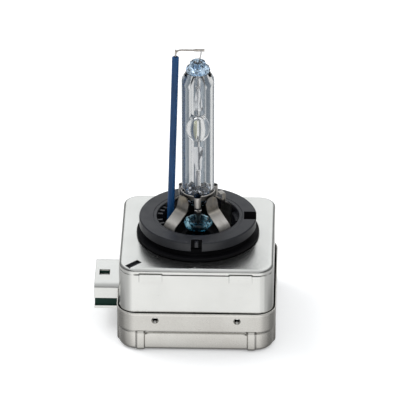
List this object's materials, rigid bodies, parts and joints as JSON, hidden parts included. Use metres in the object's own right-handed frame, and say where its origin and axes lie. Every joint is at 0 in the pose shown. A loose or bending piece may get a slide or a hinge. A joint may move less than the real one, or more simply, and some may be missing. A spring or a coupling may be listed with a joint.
{
  "type": "gas discharge headlight bulb",
  "caption": "Gas-discharge headlight bulb: quartz burner and blue return tube in a sprung clamp on a keyed ring, over a square metal housing with igniter and side connector.",
  "frame": {"origin": "centre of the housing's flat bottom face, on the burner's axis", "axes": "+Z along the burner's axis towards its tip; the connector points along -X; -Y is the housing's front"},
  "size_m": [0.0499, 0.0434, 0.0817],
  "materials": {
    "quartz": "clear polished quartz",
    "blue_glass": "fused blue glass",
    "tungsten": "drawn",
    "molybdenum": "rolled foil and drawn wire",
    "salt": "condensed film",
    "nickel_wire": "drawn wire",
    "blue_ceramic": "semi-matt glaze",
    "spring_steel": "rolled strip, satin",
    "black_plastic": "moulded, satin",
    "green_plastic": "moulded, satin",
    "housing_sheet": "satin pressed sheet",
    "brass": "stamped",
    "ferrite": "sintered, matt",
    "copper": "enamelled winding",
    "white_ceramic": "fired, unglazed",
    "film_case": "dipped coating",
    "silicone": "cast"
  },
  "bodies": {
    "root": {"outer_envelope": "quartz", "arc_tube": "quartz", "upper_electrode": "tungsten", "lower_electrode": "tungsten", "upper_seal_foil": "molybdenum", "lower_seal_foil": "molybdenum", "halide_salts": "salt", "upper_lead": "molybdenum", "lower_lead": "molybdenum", "return_insulator": "blue_ceramic", "return_wire": "nickel_wire", "clamp_band": "spring_steel", "weld_tab": "spring_steel", "clamp_leg_rear_right": "spring_steel", "clamp_leg_rear_left": "spring_steel", "clamp_leg_front_left": "spring_steel", "clamp_leg_front_right": "spring_steel", "locating_ring": "black_plastic", "base_body": "black_plastic", "stem_bead": "blue_glass", "burner_contact": "brass", "upper_shell": "housing_sheet", "lower_can": "housing_sheet", "connector_screen_upper": "housing_sheet", "connector_screen_lower": "housing_sheet", "connector_socket": "green_plastic", "connector_pin_1": "brass", "connector_pin_2": "brass", "connector_pin_3": "brass", "igniter_tray": "green_plastic", "potting_layer": "silicone", "transformer_core": "ferrite", "transformer_bobbin": "green_plastic", "secondary_winding": "copper", "primary_winding": "copper", "spark_gap_body": "white_ceramic", "spark_gap_cap_left": "nickel_wire", "spark_gap_cap_right": "nickel_wire", "storage_capacitor": "film_case", "bleed_resistor": "white_ceramic", "choke_core": "ferrite", "choke_winding": "copper", "burner_busbar": "brass", "return_busbar": "brass", "supply_busbar": "brass"}
  },
  "joints": []
}
